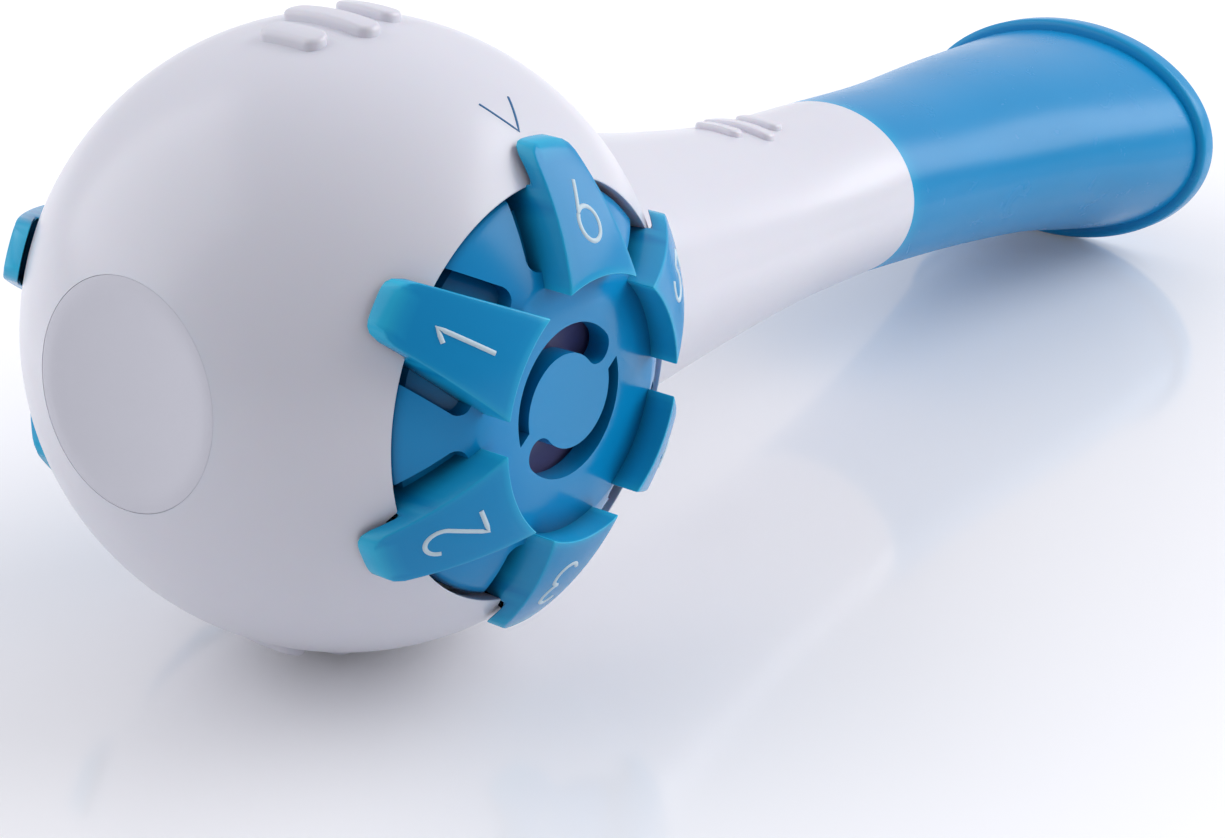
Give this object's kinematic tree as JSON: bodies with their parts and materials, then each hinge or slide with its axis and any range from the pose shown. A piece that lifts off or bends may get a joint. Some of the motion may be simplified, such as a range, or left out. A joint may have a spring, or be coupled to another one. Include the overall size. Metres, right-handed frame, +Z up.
{
  "type": "incentive spirometer",
  "caption": "hand-held breathing trainer: ball head with numbered inhale and exhale resistance dials, one-way disc valves, oval tube and pull-off mouthpiece",
  "frame": {"origin": "middle of the footprint box on the surface that the object lies on", "axes": "+Z up; +Y along the length toward the mouthpiece, whose axis dips by 6.49 degrees; +X toward the inhale dial"},
  "size_m": [0.0584, 0.1755, 0.0618],
  "materials": {
    "shell": "white glossy ABS",
    "foot": "pale grey satin moulding",
    "blue": "blue satin polypropylene, slightly translucent",
    "mouth": "blue satin polypropylene",
    "disc": "dark violet polypropylene",
    "valve": "natural white polypropylene",
    "silicone": "translucent silicone",
    "seal": "black rubber",
    "screw": "stainless steel"
  },
  "bodies": {
    "casing": {"upper_shell": "shell", "lower_shell": "shell", "foot_pad": "foot", "inhale_valve_cup": "valve", "inhale_valve_grille": "valve", "inhale_cup_seal": "seal", "inhale_click_spring": "screw", "exhale_valve_cup": "valve", "exhale_valve_grille": "valve", "exhale_cup_seal": "seal", "exhale_click_spring": "screw"},
    "inhale_dial": {"inhale_dial": "blue", "inhale_metering_disc": "disc", "inhale_dial_screw": "screw"},
    "exhale_dial": {"exhale_dial": "blue", "exhale_metering_disc": "disc", "exhale_dial_screw": "screw"},
    "inhale_valve": {"inhale_valve_disc": "silicone"},
    "exhale_valve": {"exhale_valve_disc": "silicone"},
    "mouthpiece": {"mouthpiece": "mouth"}
  },
  "joints": [
    {"name": "inhale_dial_turn", "type": "hinge", "parent": "casing", "child": "inhale_dial", "pos_m": [0, -0.0587, 0.0309], "axis": [1, 0, 0], "continuous": true},
    {"name": "exhale_dial_turn", "type": "hinge", "parent": "casing", "child": "exhale_dial", "pos_m": [0, -0.0587, 0.0309], "axis": [-1, 0, 0], "continuous": true},
    {"name": "inhale_valve_lift", "type": "slide", "parent": "casing", "child": "inhale_valve", "axis": [-1, 0, 0], "range_m": [0, 0.0015]},
    {"name": "exhale_valve_lift", "type": "slide", "parent": "casing", "child": "exhale_valve", "axis": [-1, 0, 0], "range_m": [0, 0.0015]},
    {"name": "mouthpiece_pull", "type": "slide", "parent": "casing", "child": "mouthpiece", "axis": [0, 0.9936, -0.1131], "range_m": [0, 0.025]}
  ]
}
